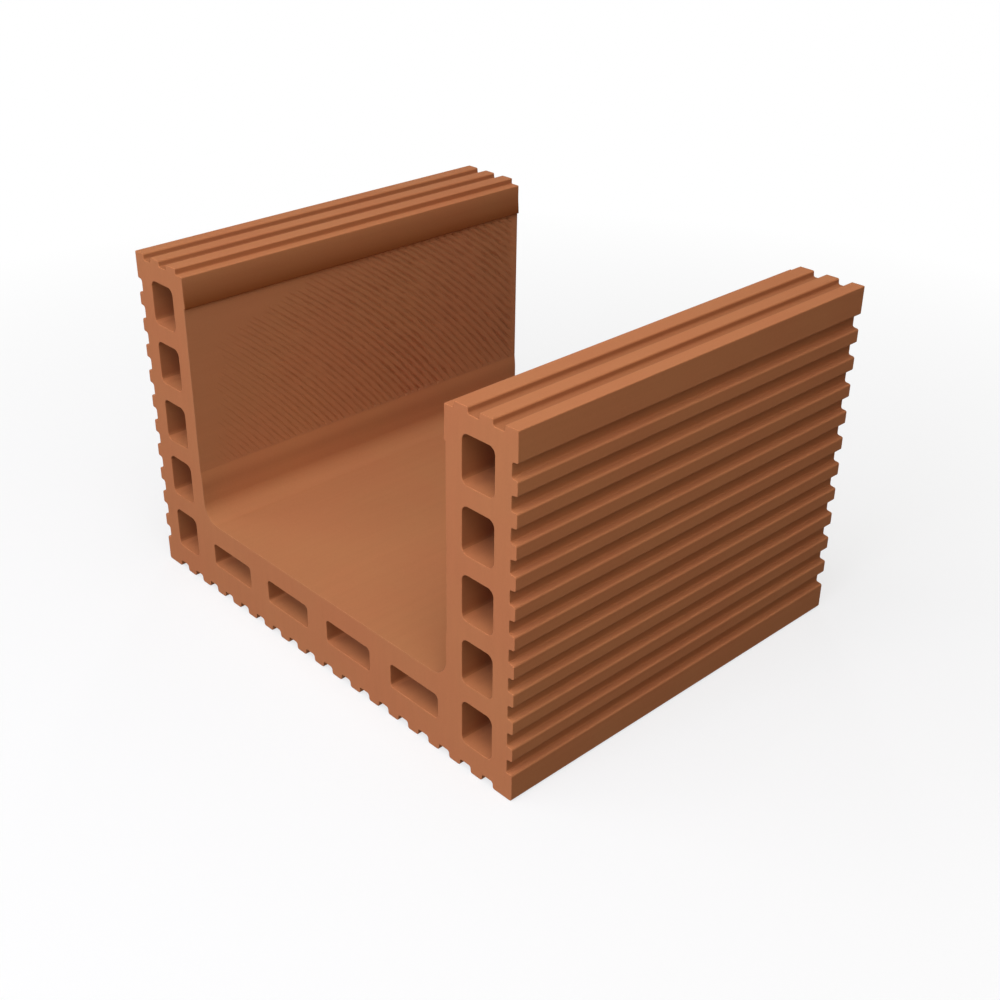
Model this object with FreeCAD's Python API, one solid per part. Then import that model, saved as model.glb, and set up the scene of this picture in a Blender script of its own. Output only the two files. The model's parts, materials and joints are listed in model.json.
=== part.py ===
import FreeCAD, Part
import math
import os

# Extruded hollow clay channel block, one fired piece.
# It stands on its sole with the open channel upwards. X runs across the section,
# Y runs along the extrusion, and the origin is at the middle of the sole.
# All lengths are in millimetres.

# Outside
width = 290.0
length = 240.0
height = 190.0

# Walls and base of the channel
wall_thickness = 44.7
base_thickness = 44.8
cove_radius = 17.0

# Cells in each wall, with the clay left round them
wall_cell_count = 5
wall_cell_outer_shell = 13.6
wall_cell_inner_shell = 11.1
wall_cell_top_cover = 12.8
wall_cell_sole_cover = 15.4
wall_cell_web = 10.4
wall_cell_corner = 3.6

# Cells in the base, with the clay left round them
base_cell_count = 4
base_cell_side_cover = 50.7
base_cell_sole_cover = 18.4
base_cell_floor_cover = 12.8
base_cell_web = 16.3
base_cell_corner = 2.4

# Key grooves of the outer sides
side_groove_mouth = 7.9
side_groove_floor = 7.1
side_groove_depth = 3.5
side_groove_pitch = 15.2
side_rib_radius = 1.0

# Key grooves of the sole
sole_groove_mouth = 7.6
sole_groove_floor = 6.9
sole_groove_depth = 3.7
sole_groove_pitch = 15.15
sole_rib_radius = 1.4

# Least width of the rib at each end of a row of side or sole grooves
end_rib_minimum = 10.0

# Key grooves on top of each wall, counted from the outer side, and the ledge inside them
top_first_rib = 7.8
top_groove_mouth = 7.2
top_groove_floor = 6.6
top_groove_depth = 3.2
top_groove_pitch = 15.05
top_rib_radius = 0.8
top_last_rib_minimum = 5.0
top_ledge_width = 5.9

# Inner face of each wall, from the top: a smooth band that flares out at its lower edge,
# a rough panel set back, and a smooth foot that rolls out again and runs into the cove
band_height = 17.4
band_flare_height = 9.0
band_flare_radius = 40.0
band_flare = 0.6
panel_setback = 0.7
panel_bottom = 74.2
foot_shoulder = 6.2
foot_radius = 48.0

# Softened edges
edge_radius = 0.5
groove_floor_radius = 1.1
sole_edge_radius = 1.6


def rounded_outline(corners):
    """Closed wire through (x, z, radius) corners, with an arc of that radius at each one.

    Where the arcs at both ends of a side would meet, each keeps to its share of the side.
    """
    share = 0.45
    points = [FreeCAD.Vector(x, 0, z) for x, z, radius in corners]
    arcs = []
    for i, point in enumerate(points):
        before = points[i - 1] - point
        after = points[(i + 1) % len(points)] - point
        half_angle = before.getAngle(after) / 2
        trim = min(corners[i][2] / math.tan(half_angle), share * before.Length, share * after.Length)
        radius = trim * math.tan(half_angle)
        before.normalize()
        after.normalize()
        middle = (before + after).normalize() * (radius / math.sin(half_angle) - radius)
        arcs.append(Part.Arc(point + before * trim, point + middle, point + after * trim))
    edges = []
    for i, arc in enumerate(arcs):
        edges.append(arcs[i - 1].toShape())
        edges.append(Part.LineSegment(arcs[i - 1].EndPoint, arc.StartPoint).toShape())
    return Part.Wire(edges)


def centred_row(row_length, mouth, pitch):
    """Middles of the grooves of a row centred on a face of the given length."""
    count = int((row_length - 2 * end_rib_minimum - mouth) / pitch) + 1
    first = (row_length - (count - 1) * pitch) / 2
    return [first + i * pitch for i in range(count)]


def crown_row():
    """Middles of the grooves on top of a wall, measured from its outer side."""
    first = top_first_rib + top_groove_mouth / 2
    last_limit = wall_thickness - top_ledge_width - top_last_rib_minimum - top_groove_mouth / 2
    count = int((last_limit - first) / top_groove_pitch) + 1
    return [first + i * top_groove_pitch for i in range(count)]


def groove_corners(middles, mouth, floor, depth, rib_radius):
    """Corners (distance along the face, depth below it, radius) of a row of grooves between ribs."""
    corners = []
    for middle in middles:
        corners.append((middle - mouth / 2, 0, rib_radius))
        corners.append((middle - floor / 2, depth, groove_floor_radius))
        corners.append((middle + floor / 2, depth, groove_floor_radius))
        corners.append((middle + mouth / 2, 0, rib_radius))
    return corners


def inner_face(inner):
    """Corners of the inner face of the right wall, from its ledge down to the cove."""
    ledge = height - top_groove_depth
    band_bottom = ledge - band_height
    panel = inner + panel_setback
    return [
        (inner + top_ledge_width, height, edge_radius),
        (inner + top_ledge_width, ledge, edge_radius),
        (inner, ledge, edge_radius),
        (inner, band_bottom + band_flare_height, band_flare_radius),
        (inner - band_flare, band_bottom, edge_radius),
        (panel, band_bottom, edge_radius),
        (panel, panel_bottom, edge_radius),
        (inner, panel_bottom - foot_shoulder, foot_radius),
        (inner, base_thickness, cove_radius),
    ]


def right_half():
    """Corners of the right half of the section, from the middle of the sole to the floor."""
    half = width / 2
    sole = groove_corners(centred_row(width, sole_groove_mouth, sole_groove_pitch),
                          sole_groove_mouth, sole_groove_floor, sole_groove_depth, sole_rib_radius)
    side = groove_corners(centred_row(height, side_groove_mouth, side_groove_pitch),
                          side_groove_mouth, side_groove_floor, side_groove_depth, side_rib_radius)
    crown = groove_corners(crown_row(), top_groove_mouth, top_groove_floor, top_groove_depth, top_rib_radius)
    corners = [(along - half, depth, radius) for along, depth, radius in sole if along > half]
    corners.append((half, 0, sole_edge_radius))
    corners += [(half - depth, along, radius) for along, depth, radius in side]
    corners.append((half, height, edge_radius))
    corners += [(half - along, height - depth, radius) for along, depth, radius in crown]
    return corners + inner_face(half - wall_thickness)


def cell(left, right, bottom, top, corner):
    """Outline of one through cell."""
    return rounded_outline([(left, bottom, corner), (right, bottom, corner),
                            (right, top, corner), (left, top, corner)])


def wall_cells():
    """Outlines of the column of cells in both walls."""
    outer = width / 2 - wall_cell_outer_shell
    inner = width / 2 - wall_thickness + wall_cell_inner_shell
    column = height - wall_cell_top_cover - wall_cell_sole_cover
    cell_height = (column - (wall_cell_count - 1) * wall_cell_web) / wall_cell_count
    outlines = []
    for i in range(wall_cell_count):
        bottom = wall_cell_sole_cover + i * (cell_height + wall_cell_web)
        top = bottom + cell_height
        outlines.append(cell(inner, outer, bottom, top, wall_cell_corner))
        outlines.append(cell(-outer, -inner, bottom, top, wall_cell_corner))
    return outlines


def base_cells():
    """Outlines of the row of cells in the base."""
    bottom = base_cell_sole_cover
    top = base_thickness - base_cell_floor_cover
    row = width - 2 * base_cell_side_cover
    cell_width = (row - (base_cell_count - 1) * base_cell_web) / base_cell_count
    outlines = []
    for i in range(base_cell_count):
        left = i * (cell_width + base_cell_web) - row / 2
        outlines.append(cell(left, left + cell_width, bottom, top, base_cell_corner))
    return outlines


def block():
    """The die's section with its cells, extruded to the length at which the wire cuts it."""
    right = right_half()
    left = [(-x, z, radius) for x, z, radius in reversed(right)]
    section = Part.Face([rounded_outline(right + left)] + wall_cells() + base_cells())
    section.translate(FreeCAD.Vector(0, -length / 2, 0))
    return section.extrude(FreeCAD.Vector(0, length, 0))


os.makedirs("parts", exist_ok=True)
block().exportStep("parts/clay_channel_block.step")
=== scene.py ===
"""Hollow clay channel block: the fired piece with its finish, on a pale floor in soft studio light."""

import json
import math
import random

import bpy
from bpy.props import FloatProperty, FloatVectorProperty, PointerProperty
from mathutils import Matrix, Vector, noise

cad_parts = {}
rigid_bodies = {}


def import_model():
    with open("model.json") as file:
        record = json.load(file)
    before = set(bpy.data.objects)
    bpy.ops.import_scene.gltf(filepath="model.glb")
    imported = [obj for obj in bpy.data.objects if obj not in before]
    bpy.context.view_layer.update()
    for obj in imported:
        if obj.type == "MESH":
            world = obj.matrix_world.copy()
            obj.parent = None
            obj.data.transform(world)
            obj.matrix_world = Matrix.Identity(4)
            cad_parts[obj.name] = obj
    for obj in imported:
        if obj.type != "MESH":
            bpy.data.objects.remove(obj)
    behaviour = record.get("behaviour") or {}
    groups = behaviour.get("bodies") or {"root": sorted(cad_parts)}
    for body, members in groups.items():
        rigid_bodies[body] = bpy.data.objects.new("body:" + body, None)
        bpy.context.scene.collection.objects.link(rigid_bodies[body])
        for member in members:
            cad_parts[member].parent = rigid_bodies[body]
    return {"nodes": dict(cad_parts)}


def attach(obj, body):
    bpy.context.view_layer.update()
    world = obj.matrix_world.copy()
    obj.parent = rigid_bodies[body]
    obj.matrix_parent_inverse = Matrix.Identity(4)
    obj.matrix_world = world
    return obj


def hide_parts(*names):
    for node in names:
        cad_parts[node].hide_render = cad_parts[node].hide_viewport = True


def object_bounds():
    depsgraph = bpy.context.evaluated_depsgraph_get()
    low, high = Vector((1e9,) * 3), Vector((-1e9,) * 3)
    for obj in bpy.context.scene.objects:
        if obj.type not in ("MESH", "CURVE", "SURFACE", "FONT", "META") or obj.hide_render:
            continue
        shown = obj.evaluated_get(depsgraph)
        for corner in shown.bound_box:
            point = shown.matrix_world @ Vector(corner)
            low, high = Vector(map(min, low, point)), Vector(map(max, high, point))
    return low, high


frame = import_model()
frame_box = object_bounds()

bl_info = {
    "name": "Hollow clay channel block",
    "version": (1, 0, 0),
    "blender": (4, 5, 0),
    "location": "View3D > Sidebar > Clay block",
    "description": "Dresses the channel block as fired clay and sets it on a studio floor",
    "category": "Object",
}

# The frame is in metres, so lengths here are too.
MM = 0.001

NODE = "clay_channel_block"
PIECE = "fired_clay_block"

# Points this near are one point, and faces turned less than this from each other are one face
MERGE_DISTANCE = 0.001 * MM
FLAT_ANGLE = math.radians(0.5)

# Edges sharper than this stay sharp, and large faces rule the shading of small ones where 50 is even
SMOOTH_ANGLE = math.radians(50.0)
NORMAL_WEIGHT = 100

# How much of a face's normal lies along the block: at least on a cut end, at most on a drawn face
CUT_END = 0.99
DRAWN_FACE = 0.1

# How finely each tine is made, and half the depth of the narrow ellipse that it is spun from
TINE_SIDES = 12
TINE_STEPS = 44
TINE_DEPTH = 1.5 * MM

# How far the scoring keeps from the edges of the panel, and how soon it lifts out before the far end
SCORE_MARGIN = 1.0 * MM
SCORE_RUN_OUT = 4.0 * MM

# Unevenness of the scoring: in the spacing and pressure of the tines, in patches and dashes along
# their lines, and in how far they wander off them
SCORE_SEED = 5
SCORE_UNEVEN_PITCH = 0.06
SCORE_UNEVEN_DEPTH = 0.1
SCORE_PATCH_DEPTH = 0.25
SCORE_PATCH_SIZE = 28.0 * MM
SCORE_DASH_DEPTH = 0.5
SCORE_DASH_SIZE = 6.0 * MM
SCORE_WANDER = 0.3 * MM

# Step from tine to tine through the noise, so that the dashes of neighbours don't line up
TINE_SHIFT = 1.37

# The clays of the piece, in the order of their material slots
DRAWN, WIRE_CUT, CHANNEL, PAINTED_RECESS, PANEL = range(5)

# The clay of the channel starts at this height, and reaches this far into the walls behind the panels
CHANNEL_FROM = 44.0 * MM
PANEL_REACH = 3.0 * MM

# Slack for what still counts as the smooth band, its ledge or the face of a panel
LIP_REACH = 0.3 * MM

# Height, reach and tone of the painted shade in the hollow of the foot, under the rough panel
HOLLOW_HEIGHT = 65.0 * MM
HOLLOW_REACH = 7.0 * MM
HOLLOW_PAINTED_SHADE = 0.92

# Recesses whose clay is painted darker as shade, each a range of distances from the middle and a range of
# heights
WALL_CELLS = ((111.0 * MM, 132.0 * MM), (15.0 * MM, 178.0 * MM))
BASE_CELLS = ((0.0, 95.0 * MM), (18.0 * MM, 33.0 * MM))
CROWN_GROOVES = ((105.5 * MM, 145.0 * MM), (186.0 * MM, 189.0 * MM))

# The sole of a cell, which has the plain clay, is turned at least this much upwards
CELL_SOLE = 0.5

# Clouds, sand grain and drag marks of the clay
CLOUDS = {"Scale": 22.0, "Detail": 3.0, "Roughness": 0.5}
GRAIN = {"Scale": 900.0, "Detail": 4.0, "Roughness": 0.6}
DRAG = {"Scale": 260.0, "Detail": 4.0, "Roughness": 0.6}

# Stretch of the drag marks of the die and of the cutting wire
ALONG_BLOCK = (1.0, 0.04, 1.0)
DOWN_THE_CUT = (1.0, 1.0, 0.12)

# Ranges of the noise, and the shades and roughness that they turn into
CLOUD_EDGES = (0.35, 0.65)
GRAIN_EDGES = (0.6, 1.4)
GRAIN_SHADES = (0.96, 1.04)
ROUGH_EDGES = (0.3, 0.7)
ROUGHNESS = (0.78, 0.92)

# Sheen of the clay, and strength and height of its grit
SPECULAR = 0.2
GRIT_STRENGTH = 0.5
GRIT_HEIGHT = 0.08 * MM

# Colour sockets of a mix node, which has several sockets of the same name
MIX_FIRST, MIX_SECOND, MIX_RESULT = 6, 7, 2

# The floor lies a little under the sole, and its share of plain white grows between two distances
FLOOR_SIDES = 96
FLOOR_GAP = 0.2 * MM
FLOOR_TONE = (0.9, 0.9, 0.9, 1)
FLOOR_FADE = (0.2, 0.7)
FLOOR_WHITE = (0.7, 1.0)
WHITE = (1, 1, 1, 1)

# Where every lamp points, and the tints of their light
LAMP_AIM = (0.0, 0.0, 0.08)
NEUTRAL = (1.0, 1.0, 1.0)
COOL = (0.84, 0.84, 1.0)
WARM = (1.0, 0.93, 0.72)

# Lamps: name, place, side of the square, power in watts, tint
LAMPS = (
    ("near_high", (0.0, -0.85, 1.3), 0.8, 4.4, NEUTRAL),
    ("near_low", (0.2, -1.5, 0.6), 0.8, 14.2, COOL),
    ("overhead", (0.0, 0.0, 2.6), 1.5, 6.4, NEUTRAL),
    ("overhead_right", (0.4, -0.2, 1.6), 1.0, 5.8, NEUTRAL),
    ("right_near", (0.6, -0.4, 1.0), 0.6, 2.7, NEUTRAL),
    ("right_low", (1.3, -0.8, 0.5), 0.6, 3.3, WARM),
    ("left_near_high", (-1.0, -1.0, 1.4), 0.8, 4.7, NEUTRAL),
    ("far_left", (-1.3, 1.3, 0.14), 0.24, 16.0, NEUTRAL),
)

# Width of the camera's sensor in millimetres
SENSOR_WIDTH = 36.0


class ClayBlockSettings(bpy.types.PropertyGroup):
    """Sizes and colours of the fired piece."""

    cut_edge: FloatProperty(
        name="Cut edge", description="How far the wire-cut edges of both ends are worn back",
        default=0.35 * MM, min=0.05 * MM, max=0.45 * MM, subtype="DISTANCE", unit="LENGTH")
    panel_face: FloatProperty(
        name="Panel face", description="Distance of the rough inner panels from the middle of the channel",
        default=101.0 * MM, min=0.0, subtype="DISTANCE", unit="LENGTH")
    panel_bottom: FloatProperty(
        name="Panel bottom", description="Height of the lower edge of the rough panels",
        default=74.2 * MM, min=0.0, subtype="DISTANCE", unit="LENGTH")
    panel_top: FloatProperty(
        name="Panel top", description="Height of the lower edge of the smooth band, above the rough panels",
        default=169.4 * MM, min=0.0, subtype="DISTANCE", unit="LENGTH")
    score_radius: FloatProperty(
        name="Score radius", description="Radius of the curve that each scored line follows",
        default=475.0 * MM, min=100.0 * MM, subtype="DISTANCE", unit="LENGTH")
    score_slope: FloatProperty(
        name="Score slope", description="Fall of a scored line where it starts under the band",
        default=math.radians(34.0), min=0.0, max=math.radians(80.0), subtype="ANGLE", unit="ROTATION")
    score_pitch: FloatProperty(
        name="First pitch", description="Distance along the block between the first two scored lines",
        default=3.8 * MM, min=2.0 * MM, subtype="DISTANCE", unit="LENGTH")
    score_spread: FloatProperty(
        name="Spread", description="Growth of the pitch from one scored line to the next",
        default=0.0088, min=0.0, max=0.05, subtype="FACTOR")
    score_width: FloatProperty(
        name="Score width", description="Width of the first tine, the others widen with their pitch",
        default=1.9 * MM, min=0.5 * MM, max=4.0 * MM, subtype="DISTANCE", unit="LENGTH")
    score_depth: FloatProperty(
        name="Score depth", description="Depth of the scored lines where they are fully cut",
        default=0.8 * MM, min=0.02 * MM, max=1.2 * MM, subtype="DISTANCE", unit="LENGTH")
    score_start: FloatProperty(
        name="Score start", description="Distance from the near end at which the scored lines begin to bite",
        default=8.0 * MM, min=0.0, subtype="DISTANCE", unit="LENGTH")
    score_ease: FloatProperty(
        name="Score ease", description="Distance along the block over which the lines reach their full depth",
        default=120.0 * MM, min=1.0 * MM, subtype="DISTANCE", unit="LENGTH")
    score_lead_length: FloatProperty(
        name="Late start", description="How much later along the block the lines begin right under the band",
        default=75.0 * MM, min=0.0, subtype="DISTANCE", unit="LENGTH")
    score_lead_height: FloatProperty(
        name="Late start height", description="Height below the band in which the lines begin late",
        default=24.0 * MM, min=1.0 * MM, subtype="DISTANCE", unit="LENGTH")
    clay: FloatVectorProperty(
        name="Clay", description="Colour of the fired clay",
        default=(0.49, 0.183, 0.072), min=0.0, max=1.0, size=3, subtype="COLOR")
    channel_clay: FloatVectorProperty(
        name="Channel clay", description="Colour of the smoother, slightly duller clay inside the channel",
        default=(0.442, 0.177, 0.071), min=0.0, max=1.0, size=3, subtype="COLOR")
    panel_clay: FloatVectorProperty(
        name="Panel clay", description="Colour of the rough, torn clay of the scored panels",
        default=(0.430, 0.176, 0.074), min=0.0, max=1.0, size=3, subtype="COLOR")
    # Clay painted darker as shade in the grooves on top and on the sides and ceilings of the cells
    recess_clay: FloatVectorProperty(
        name="Recess clay with painted shade",
        description="Colour painted darker as shade in the top grooves and on the sides and ceilings of the cells",
        default=(0.387, 0.141, 0.054), min=0.0, max=1.0, size=3, subtype="COLOR")
    cloud_tint: FloatVectorProperty(
        name="Cloud tint", description="What the redder clouds do to the colour of the clay",
        default=(1.02, 0.975, 1.0), min=0.0, max=2.0, size=3)
    # Painted shade of the smooth band: the height it darkens over and what it leaves at the lower edge
    lip_height: FloatProperty(
        name="Lip height", description="Height over which the smooth band is painted darker as shade towards its lower edge",
        default=17.4 * MM, min=0.0, subtype="DISTANCE", unit="LENGTH")
    lip_painted_shade: FloatVectorProperty(
        name="Lip painted shade", description="What the painted shade leaves of the colour at the lower edge of the smooth band",
        default=(0.40, 0.25, 0.08), min=0.0, max=1.0, size=3, subtype="COLOR")


class ClayStageSettings(bpy.types.PropertyGroup):
    """Camera, lamps and floor."""

    camera_place: FloatVectorProperty(
        name="Camera place", description="Where the camera stands",
        default=(0.49615, -0.46969, 0.43605), size=3, subtype="TRANSLATION", unit="LENGTH")
    camera_heading: FloatProperty(
        name="Camera heading",
        description="Turn of the view from straight along the block towards its left side",
        default=math.radians(47.514), subtype="ANGLE", unit="ROTATION")
    camera_drop: FloatProperty(
        name="Camera drop", description="How far the view looks down from level",
        default=math.radians(28.561), subtype="ANGLE", unit="ROTATION")
    camera_roll: FloatProperty(
        name="Camera roll", description="Lean of the picture",
        default=math.radians(-0.063), subtype="ANGLE", unit="ROTATION")
    lens: FloatProperty(
        name="Lens", description="Focal length on a sensor 36 mm wide, in millimetres",
        default=50.471, min=10.0, max=300.0)
    shift: FloatVectorProperty(
        name="Shift", description="Sideways and upward shift of the picture, in picture widths",
        default=(0.03303, -0.01662), size=2)
    lamp_level: FloatProperty(
        name="Lamp level", description="Factor on the power of every lamp",
        default=1.0, min=0.0, subtype="FACTOR")
    ambient: FloatProperty(
        name="Ambient light", description="Strength of the even light from all round",
        default=0.015, min=0.0)
    floor_bounce: FloatProperty(
        name="Floor bounce", description="How much of the light the floor throws back onto the block",
        default=0.06, min=0.0, max=1.0, subtype="FACTOR")
    floor_radius: FloatProperty(
        name="Floor radius", description="Radius of the floor",
        default=4.0, min=1.0, subtype="DISTANCE", unit="LENGTH")


# Picking and small helpers

def start_clean():
    """Leaves nothing selected and no object active in edit mode."""
    if bpy.context.object and bpy.context.object.mode != "OBJECT":
        bpy.ops.object.mode_set(mode="OBJECT")
    bpy.ops.object.select_all(action="DESELECT")


def work_on(piece):
    """Makes a piece the only selected object."""
    start_clean()
    piece.select_set(True)
    bpy.context.view_layer.objects.active = piece


def pick_faces(piece, wanted):
    """Opens the piece in edit mode with exactly the wanted faces selected."""
    work_on(piece)
    bpy.ops.object.mode_set(mode="EDIT")
    bpy.ops.mesh.select_mode(type="FACE")
    bpy.ops.mesh.select_all(action="DESELECT")
    bpy.ops.object.mode_set(mode="OBJECT")
    for face in piece.data.polygons:
        face.select = wanted(face)
    bpy.ops.object.mode_set(mode="EDIT")


def apply_modifier(piece, kind, **settings):
    """Adds one modifier with these settings and applies it."""
    work_on(piece)
    modifier = piece.modifiers.new(kind.title(), kind)
    for name, value in settings.items():
        setattr(modifier, name, value)
    bpy.ops.object.modifier_apply(modifier=modifier.name)


# The fired piece

def copy_of_frame_block():
    """A merged copy of the frame's block, with long faces along the extrusion."""
    node = frame["nodes"][NODE]
    piece = bpy.data.objects.new(PIECE, node.data.copy())
    piece.data.name = PIECE
    bpy.context.scene.collection.objects.link(piece)
    work_on(piece)
    bpy.ops.object.mode_set(mode="EDIT")
    bpy.ops.mesh.select_all(action="SELECT")
    bpy.ops.mesh.remove_doubles(threshold=MERGE_DISTANCE)
    bpy.ops.mesh.dissolve_limited(angle_limit=FLAT_ANGLE)
    bpy.ops.object.mode_set(mode="OBJECT")
    return piece


def soften_cut_ends(piece, worn):
    """Opens both wire-cut ends, wears their outlines back by a narrow chamfer and closes them again."""
    for side in (-1, 1):
        pick_faces(piece, lambda face: face.normal.y * side > CUT_END)
        bpy.ops.mesh.delete(type="FACE")
        bpy.ops.mesh.select_mode(type="EDGE")
        bpy.ops.mesh.select_non_manifold(extend=False, use_wire=False, use_multi_face=False,
                                         use_non_contiguous=False, use_verts=False)
        bpy.ops.transform.translate(value=(0, -side * worn, 0))
        bpy.ops.mesh.extrude_region_move(TRANSFORM_OT_translate={"value": (0, side * worn, 0)})
        bpy.ops.transform.shrink_fatten(value=-worn, use_even_offset=True)
        bpy.ops.mesh.fill(use_beauty=False)
        bpy.ops.mesh.dissolve_limited(angle_limit=FLAT_ANGLE)
        bpy.ops.object.mode_set(mode="OBJECT")


def scoring_comb(settings, near, far):
    """The curved tines that score the left panel, each a narrow ellipse spun along its arc."""
    height = settings.panel_top - settings.panel_bottom - 2 * SCORE_MARGIN
    start = settings.score_slope
    radius = settings.score_radius
    end = math.acos(math.cos(start) - height / radius)
    top = settings.panel_top - SCORE_MARGIN
    run = radius * (math.sin(end) - math.sin(start))
    first = near + settings.score_start - run
    face = -settings.panel_face
    half_width = settings.score_width / 2

    start_clean()
    bpy.ops.mesh.primitive_circle_add(vertices=TINE_SIDES, radius=half_width, fill_type="NOTHING",
                                      location=(face, first, top), rotation=(math.pi / 2 - start, 0, 0))
    comb = bpy.context.object
    comb.name = "scoring_comb"
    bpy.ops.object.mode_set(mode="EDIT")
    bpy.ops.mesh.select_all(action="SELECT")
    bpy.ops.transform.resize(value=(TINE_DEPTH / half_width, 1, 1), center_override=(face, first, top))
    centre = (face, first - radius * math.sin(start), top - radius * math.cos(start))
    bpy.ops.mesh.spin(steps=TINE_STEPS, angle=end - start, center=centre, axis=(1, 0, 0))
    bpy.ops.mesh.select_all(action="SELECT")
    bpy.ops.mesh.fill_holes(sides=0)
    bpy.ops.mesh.normals_make_consistent(inside=False)

    draw = random.Random(SCORE_SEED)
    at, pitch = first, settings.score_pitch
    while at < far:
        bpy.ops.mesh.select_linked()
        step = pitch * (1 + SCORE_UNEVEN_PITCH * draw.uniform(-1, 1))
        bpy.ops.mesh.duplicate_move(TRANSFORM_OT_translate={"value": (0, step, 0)})
        at += step
        pitch *= 1 + settings.score_spread
    bpy.ops.object.mode_set(mode="OBJECT")
    bpy.ops.object.transform_apply(location=True, rotation=True, scale=True)
    return comb


def score_bite(settings, place, ends, dashes):
    """How deep one tine goes in at a place, in patches and dashes.

    It eases in along the block, later near the band, and lifts out again just before the far end.
    """
    near, far = ends
    under_band = (settings.panel_top - place.z) / settings.score_lead_height
    late = settings.score_lead_length * max(0.0, 1.0 - under_band)
    eased = (place.y - near - settings.score_start - late) / settings.score_ease
    eased = math.copysign(math.sqrt(abs(eased)), eased)
    lifted = max(-1.0, (far - SCORE_MARGIN - place.y) / SCORE_RUN_OUT)
    patch = SCORE_PATCH_DEPTH * noise.noise(place / SCORE_PATCH_SIZE)
    return settings.score_depth * min(1.0, eased, lifted) * (1.0 + patch + SCORE_DASH_DEPTH * dashes)


def press_ring(ring, settings, ends, tine, pressure):
    """Widens one ring of a tine with its pitch, and presses it to its depth a little off its line."""
    centre = sum((vertex.co for vertex in ring), Vector()) / len(ring)
    along = Vector((TINE_SHIFT * tine, centre.y / SCORE_DASH_SIZE, centre.z / SCORE_DASH_SIZE))
    growth = (1 + settings.score_spread) ** tine
    bite = pressure * math.sqrt(growth) * score_bite(settings, centre, ends, noise.noise(along))
    move = Vector((TINE_DEPTH * growth - bite, SCORE_WANDER * noise.noise(along.yzx), 0))
    for vertex in ring:
        vertex.co = centre + (vertex.co - centre) * growth + move


def score_panels(piece, settings):
    """Cuts the curved lines into the rough panel of the left wall and, mirrored, of the right one."""
    near, far = frame_box[0].y, frame_box[1].y
    comb = scoring_comb(settings, near, far)
    draw = random.Random(SCORE_SEED)
    vertices = comb.data.vertices
    rings = TINE_STEPS + 1
    for tine in range(len(vertices) // (rings * TINE_SIDES)):
        pressure = 1.0 + SCORE_UNEVEN_DEPTH * draw.uniform(-1, 1)
        for ring in range(rings):
            first = (tine * rings + ring) * TINE_SIDES
            press_ring(vertices[first:first + TINE_SIDES], settings, (near, far), tine, pressure)
    apply_modifier(comb, "MIRROR", use_axis=(True, False, False), use_mirror_merge=False)
    apply_modifier(piece, "BOOLEAN", operation="DIFFERENCE", solver="MANIFOLD", object=comb)
    bpy.data.objects.remove(comb)


# Shader nodes

def add_node(tree, kind, at, **inputs):
    """A shader node at a place in the graph, with its plain inputs set by name."""
    node = tree.nodes.new(kind)
    node.location = at
    for name, value in inputs.items():
        node.inputs[name.replace("_", " ")].default_value = value
    return node


def add_math(tree, operation, at, *values):
    """Output of a calculation with numbers and other nodes' outputs."""
    node = add_node(tree, "ShaderNodeMath", at)
    node.operation = operation
    for socket, value in zip(node.inputs, values):
        if isinstance(value, bpy.types.NodeSocket):
            tree.links.new(value, socket)
        else:
            socket.default_value = value
    return node.outputs["Value"]


def add_range(tree, at, value, edges, results=(0.0, 1.0), kind="LINEAR"):
    """Output that goes from the first result to the second as the value goes from edge to edge."""
    node = add_node(tree, "ShaderNodeMapRange", at, From_Min=edges[0], From_Max=edges[1],
                    To_Min=results[0], To_Max=results[1])
    node.interpolation_type = kind
    tree.links.new(value, node.inputs["Value"])
    return node.outputs["Result"]


def add_noise(tree, at, place, look):
    """Output of a noise with the given scale, detail and roughness."""
    node = add_node(tree, "ShaderNodeTexNoise", at, **look)
    tree.links.new(place, node.inputs["Vector"])
    return node.outputs["Fac"]


def add_shade(tree, at, colour, factor):
    """A colour made darker or lighter by a factor."""
    node = add_node(tree, "ShaderNodeVectorMath", at)
    node.operation = "SCALE"
    tree.links.new(colour, node.inputs[0])
    tree.links.new(factor, node.inputs["Scale"])
    return node.outputs["Vector"]


def add_mix(tree, at, blend, amount, second):
    """A node that blends the given second colour into its first one."""
    node = add_node(tree, "ShaderNodeMix", at)
    node.data_type = "RGBA"
    node.blend_type = blend
    tree.links.new(amount, node.inputs["Factor"])
    node.inputs[MIX_SECOND].default_value = (*second, 1)
    return node


# Materials

def painted_hollow_shade(tree, height, colour):
    """Painted shade: the hollow of the foot under the rough panels is a little darker than the swell above
    it.
    """
    above = add_math(tree, "SUBTRACT", (-1100, 1200), height, HOLLOW_HEIGHT)
    away = add_math(tree, "ABSOLUTE", (-900, 1200), above)
    tone = add_range(tree, (-700, 1200), away, (0.0, HOLLOW_REACH), (HOLLOW_PAINTED_SHADE, 1.0), "SMOOTHSTEP")
    return add_shade(tree, (-250, 700), colour, tone)


def painted_lip_shade(tree, settings, height, colour):
    """Painted shade: the smooth band of both inner faces darkens evenly from the ledge to its lower edge."""
    ledge = settings.panel_top + settings.lip_height
    fall = add_range(tree, (-1100, 800), height, (ledge, settings.panel_top))
    above = add_math(tree, "GREATER_THAN", (-1100, 600), height, settings.panel_top - LIP_REACH)
    amount = add_math(tree, "MULTIPLY", (-900, 700), fall, above)
    mix = add_mix(tree, (-150, 500), "MULTIPLY", amount, settings.lip_painted_shade)
    tree.links.new(colour, mix.inputs[MIX_FIRST])
    return mix.outputs[MIX_RESULT]


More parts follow.
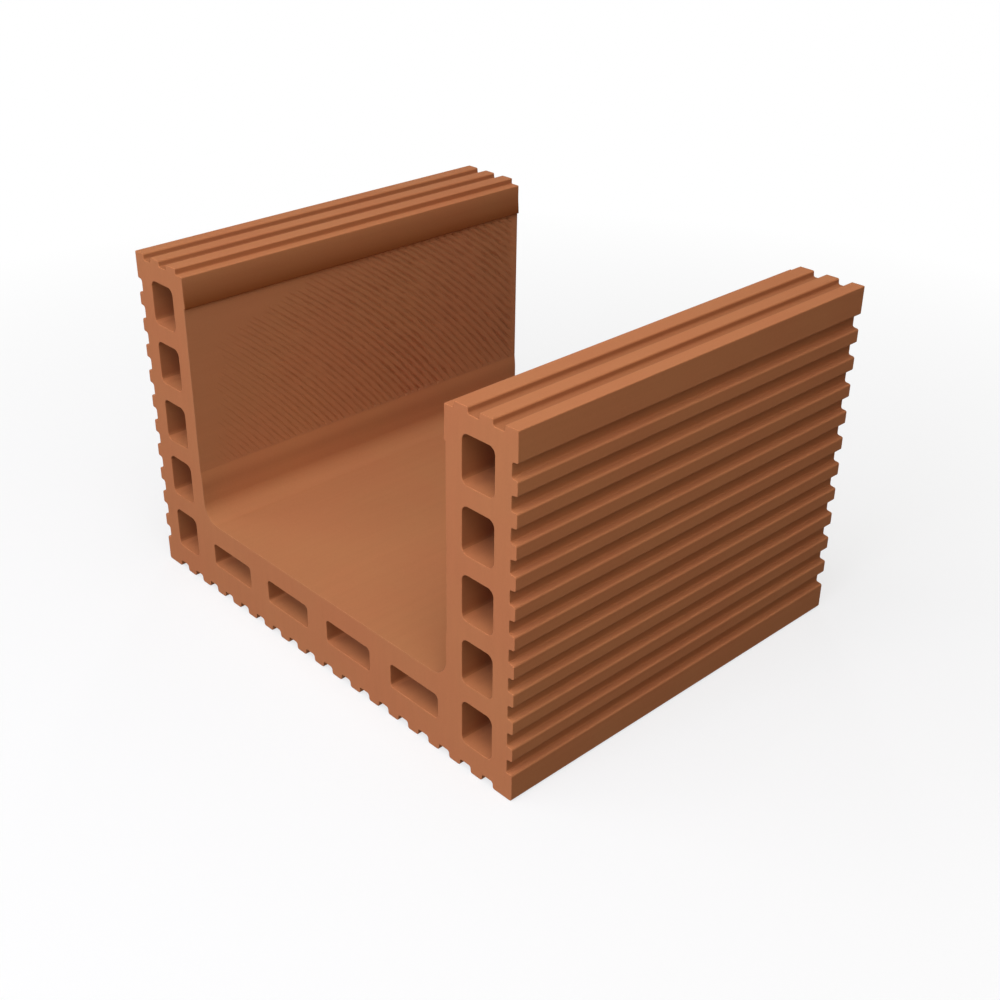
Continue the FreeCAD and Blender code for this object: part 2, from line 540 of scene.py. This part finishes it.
def clay_material(name, settings, clay, stretch, with_painted_shade):
    """Fired clay with soft clouds, sand grain and drag marks stretched along the given axis.

    With painted shade, the smooth bands and the hollows under the panels are painted darker.
    """
    material = bpy.data.materials.new(name)
    material.use_nodes = True
    tree = material.node_tree
    link = tree.links.new
    shader = tree.nodes["Principled BSDF"]
    shader.inputs["Specular IOR Level"].default_value = SPECULAR

    place = add_node(tree, "ShaderNodeTexCoord", (-1500, 0)).outputs["Object"]
    drawn = add_node(tree, "ShaderNodeMapping", (-1300, -300), Scale=stretch)
    link(place, drawn.inputs["Vector"])
    clouds = add_noise(tree, (-1000, 300), place, CLOUDS)
    grain = add_noise(tree, (-1000, 0), place, GRAIN)
    drag = add_noise(tree, (-1000, -300), drawn.outputs["Vector"], DRAG)
    grit = add_math(tree, "ADD", (-800, -100), grain, drag)

    tinted = [tone * tint for tone, tint in zip(clay, settings.cloud_tint)]
    base = add_mix(tree, (-600, 300), "MIX", add_range(tree, (-800, 300), clouds, CLOUD_EDGES), tinted)
    base.inputs[MIX_FIRST].default_value = (*clay, 1)
    shade = add_range(tree, (-600, -100), grit, GRAIN_EDGES, GRAIN_SHADES)
    colour = add_shade(tree, (-350, 200), base.outputs[MIX_RESULT], shade)
    # Painted shade on the smooth bands and on the hollows of the feet
    if with_painted_shade:
        axes = add_node(tree, "ShaderNodeSeparateXYZ", (-1300, 700))
        link(place, axes.inputs["Vector"])
        colour = painted_hollow_shade(tree, axes.outputs["Z"], colour)
        colour = painted_lip_shade(tree, settings, axes.outputs["Z"], colour)
    link(colour, shader.inputs["Base Color"])

    link(add_range(tree, (-350, -150), clouds, ROUGH_EDGES, ROUGHNESS), shader.inputs["Roughness"])
    relief = add_node(tree, "ShaderNodeBump", (-350, -400), Strength=GRIT_STRENGTH, Distance=GRIT_HEIGHT)
    link(grit, relief.inputs["Height"])
    link(relief.outputs["Normal"], shader.inputs["Normal"])
    return material


def lies_in(face, recess):
    """Whether a face along the block lies within a recess."""
    across, up = recess
    return (abs(face.normal.y) < DRAWN_FACE and across[0] < abs(face.center.x) < across[1]
            and up[0] < face.center.z < up[1])


def in_recess(face):
    """Whether a face is in a groove on top or on a side or ceiling of a cell, where shade is painted."""
    in_cell = face.normal.z < CELL_SOLE and (lies_in(face, WALL_CELLS) or lies_in(face, BASE_CELLS))
    return in_cell or lies_in(face, CROWN_GROOVES)


def in_channel(face, settings):
    """Whether a face is within the channel: over the base, between the walls and under their ledges."""
    ledge = settings.panel_top + settings.lip_height - LIP_REACH
    between_walls = abs(face.center.x) <= settings.panel_face + PANEL_REACH
    return between_walls and CHANNEL_FROM <= face.center.z <= ledge


def on_panel(face, settings):
    """Whether a face of the channel is on a rough panel or in one of its scored lines."""
    on_wall = abs(face.center.x) > settings.panel_face - LIP_REACH
    return on_wall and settings.panel_bottom < face.center.z < settings.panel_top


def clay_of(face, settings):
    """Which of the clays a face has."""
    if abs(face.normal.y) > CUT_END:
        return WIRE_CUT
    if in_recess(face):
        return PAINTED_RECESS
    if not in_channel(face, settings):
        return DRAWN
    return PANEL if on_panel(face, settings) else CHANNEL


def dress(piece, settings):
    """Gives the drawn faces, cut ends, channel, recesses and panels their clays, with shade painted in
    recesses.
    """
    clays = {
        DRAWN: ("drawn_clay", settings.clay, ALONG_BLOCK),
        WIRE_CUT: ("wire_cut_clay", settings.clay, DOWN_THE_CUT),
        CHANNEL: ("channel_clay", settings.channel_clay, ALONG_BLOCK),
        # Clay painted darker as shade in the recesses
        PAINTED_RECESS: ("recess_clay", settings.recess_clay, ALONG_BLOCK),
        PANEL: ("panel_clay", settings.panel_clay, ALONG_BLOCK),
    }
    piece.data.materials.clear()
    for number in sorted(clays):
        name, clay, stretch = clays[number]
        piece.data.materials.append(clay_material(name, settings, clay, stretch, number == CHANNEL))
    for face in piece.data.polygons:
        face.material_index = clay_of(face, settings)
    work_on(piece)
    bpy.ops.object.shade_smooth_by_angle(angle=SMOOTH_ANGLE)
    apply_modifier(piece, "WEIGHTED_NORMAL", mode="FACE_AREA", weight=NORMAL_WEIGHT, keep_sharp=True)


class CLAYBLOCK_OT_fired_block(bpy.types.Operator):
    """Make the fired piece: softened cut ends, scored inner panels and a clay finish"""

    bl_idname = "clayblock.fired_block"
    bl_label = "Fired block"
    bl_options = {"REGISTER", "UNDO"}

    def execute(self, context):
        settings = context.scene.clay_block
        piece = copy_of_frame_block()
        soften_cut_ends(piece, settings.cut_edge)
        score_panels(piece, settings)
        dress(piece, settings)
        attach(piece, "root")
        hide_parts(NODE)
        start_clean()
        return {"FINISHED"}


# The stage

def white_to_camera(tree, seen, lit):
    """Mixes what the camera and reflections see with what lights the object."""
    rays = tree.nodes.new("ShaderNodeLightPath").outputs
    either = add_math(tree, "MAXIMUM", (-400, 500), rays["Is Camera Ray"], rays["Is Glossy Ray"])
    any_of = add_math(tree, "MAXIMUM", (-200, 500), either, rays["Is Transmission Ray"])
    mix = tree.nodes.new("ShaderNodeMixShader")
    tree.links.new(any_of, mix.inputs["Fac"])
    tree.links.new(lit, mix.inputs[1])
    tree.links.new(seen, mix.inputs[2])
    return mix.outputs["Shader"]


def light_world(strength):
    """White behind everything, and an even soft light on the object."""
    world = bpy.data.worlds.new("studio")
    bpy.context.scene.world = world
    world.use_nodes = True
    tree = world.node_tree
    tree.nodes.clear()
    seen = add_node(tree, "ShaderNodeBackground", (0, 100), Color=WHITE, Strength=1.0)
    lit = add_node(tree, "ShaderNodeBackground", (0, -100), Color=WHITE, Strength=strength)
    output = tree.nodes.new("ShaderNodeOutputWorld")
    tree.links.new(white_to_camera(tree, seen.outputs[0], lit.outputs[0]), output.inputs["Surface"])


def lay_floor(settings):
    """A pale round floor that keeps the shadow and turns to white away from the block."""
    start_clean()
    bpy.ops.mesh.primitive_circle_add(vertices=FLOOR_SIDES, radius=settings.floor_radius, fill_type="NGON",
                                      location=(0, 0, -FLOOR_GAP))
    floor = bpy.context.object
    floor.name = "studio_floor"
    material = bpy.data.materials.new("pale_floor")
    material.use_nodes = True
    tree = material.node_tree
    tree.nodes.clear()
    link = tree.links.new
    bounce = add_node(tree, "ShaderNodeBsdfDiffuse", (0, -200), Color=(*[settings.floor_bounce] * 3, 1))
    shown = add_node(tree, "ShaderNodeBsdfDiffuse", (0, 0), Color=FLOOR_TONE)
    white = add_node(tree, "ShaderNodeEmission", (0, 200), Color=WHITE, Strength=1.0)
    place = tree.nodes.new("ShaderNodeTexCoord")
    distance = tree.nodes.new("ShaderNodeVectorMath")
    distance.operation = "LENGTH"
    link(place.outputs["Object"], distance.inputs[0])
    seen = tree.nodes.new("ShaderNodeMixShader")
    link(add_range(tree, (-200, 300), distance.outputs["Value"], FLOOR_FADE, FLOOR_WHITE), seen.inputs["Fac"])
    link(shown.outputs[0], seen.inputs[1])
    link(white.outputs[0], seen.inputs[2])
    output = tree.nodes.new("ShaderNodeOutputMaterial")
    link(white_to_camera(tree, seen.outputs[0], bounce.outputs[0]), output.inputs["Surface"])
    floor.data.materials.append(material)


def add_lamp(name, place, aim, size, power, tint):
    """A large square lamp that points at a place."""
    start_clean()
    bpy.ops.object.light_add(type="AREA", location=place)
    lamp = bpy.context.object
    lamp.name = name
    lamp.data.size = size
    lamp.data.energy = power
    lamp.data.color = tint
    lamp.rotation_euler = (Vector(aim) - Vector(place)).to_track_quat("-Z", "Y").to_euler()


def place_camera(settings):
    """The camera at the picture's place, with its heading, drop and small shift."""
    start_clean()
    bpy.ops.object.camera_add(location=settings.camera_place,
                              rotation=(math.pi / 2 - settings.camera_drop, settings.camera_roll,
                                        settings.camera_heading))
    camera = bpy.context.object
    camera.name = "studio_camera"
    camera.data.sensor_width = SENSOR_WIDTH
    camera.data.lens = settings.lens
    camera.data.shift_x, camera.data.shift_y = settings.shift
    bpy.context.scene.camera = camera


class CLAYBLOCK_OT_studio(bpy.types.Operator):
    """Set up the floor, the lamps, the white surround and the camera"""

    bl_idname = "clayblock.studio"
    bl_label = "Studio"
    bl_options = {"REGISTER", "UNDO"}

    def execute(self, context):
        settings = context.scene.clay_stage
        context.scene.view_settings.view_transform = "Standard"
        lay_floor(settings)
        light_world(settings.ambient)
        for name, place, size, power, tint in LAMPS:
            add_lamp(name, place, LAMP_AIM, size, power * settings.lamp_level, tint)
        place_camera(settings)
        return {"FINISHED"}


class CLAYBLOCK_PT_panel(bpy.types.Panel):
    """Sizes, colours and steps of the clay block"""

    bl_label = "Clay block"
    bl_idname = "CLAYBLOCK_PT_panel"
    bl_space_type = "VIEW_3D"
    bl_region_type = "UI"
    bl_category = "Clay block"

    def draw(self, context):
        for settings, operator in ((context.scene.clay_block, CLAYBLOCK_OT_fired_block),
                                   (context.scene.clay_stage, CLAYBLOCK_OT_studio)):
            box = self.layout.box()
            for name in settings.__annotations__:
                box.prop(settings, name)
            box.operator(operator.bl_idname)


CLASSES = (ClayBlockSettings, ClayStageSettings, CLAYBLOCK_OT_fired_block, CLAYBLOCK_OT_studio,
           CLAYBLOCK_PT_panel)


def register():
    for cls in CLASSES:
        bpy.utils.register_class(cls)
    bpy.types.Scene.clay_block = PointerProperty(type=ClayBlockSettings)
    bpy.types.Scene.clay_stage = PointerProperty(type=ClayStageSettings)


def unregister():
    del bpy.types.Scene.clay_stage
    del bpy.types.Scene.clay_block
    for cls in reversed(CLASSES):
        bpy.utils.unregister_class(cls)


def main():
    """Makes the block and its studio."""
    register()
    bpy.ops.clayblock.fired_block()
    bpy.ops.clayblock.studio()


if __name__ == "__main__":
    main()
